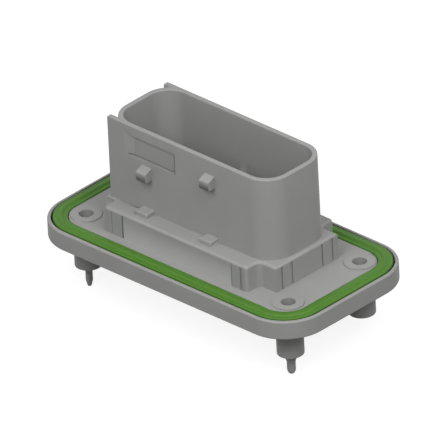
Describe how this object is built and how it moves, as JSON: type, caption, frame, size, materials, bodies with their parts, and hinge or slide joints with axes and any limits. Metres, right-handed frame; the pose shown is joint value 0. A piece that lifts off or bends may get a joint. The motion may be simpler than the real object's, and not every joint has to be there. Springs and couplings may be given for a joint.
{
  "type": "wire-to-board connector",
  "caption": "Sealed flanged board header with an open shroud, latch catches, a perimeter seal, standing legs, locating pins and two rows of blade contacts.",
  "frame": {"origin": "centre of the four screw holes, in the plane of the screw pads", "axes": "+X along the flange, +Y across it away from the locating pins, +Z out of the shroud's mouth, square to the flange"},
  "size_m": [0.0842, 0.0444, 0.0476],
  "materials": {
    "housing_plastic": "fine matt moulded surface, mid grey",
    "seal_rubber": "green silicone rubber, slightly satin",
    "contact_metal": "bright tin plating on stamped copper alloy",
    "aligner_plastic": "matt black moulded plastic"
  },
  "bodies": {
    "root": {"housing": "housing_plastic", "gasket": "seal_rubber", "tail_aligner": "aligner_plastic", "contact_01": "contact_metal", "contact_02": "contact_metal", "contact_03": "contact_metal", "contact_04": "contact_metal", "contact_05": "contact_metal", "contact_06": "contact_metal", "contact_07": "contact_metal", "contact_08": "contact_metal", "contact_09": "contact_metal", "contact_10": "contact_metal", "contact_11": "contact_metal", "contact_12": "contact_metal", "contact_13": "contact_metal", "contact_14": "contact_metal", "contact_15": "contact_metal", "contact_16": "contact_metal", "contact_17": "contact_metal", "contact_18": "contact_metal", "contact_19": "contact_metal", "contact_20": "contact_metal", "contact_21": "contact_metal", "contact_22": "contact_metal", "contact_23": "contact_metal", "contact_24": "contact_metal"}
  },
  "joints": []
}
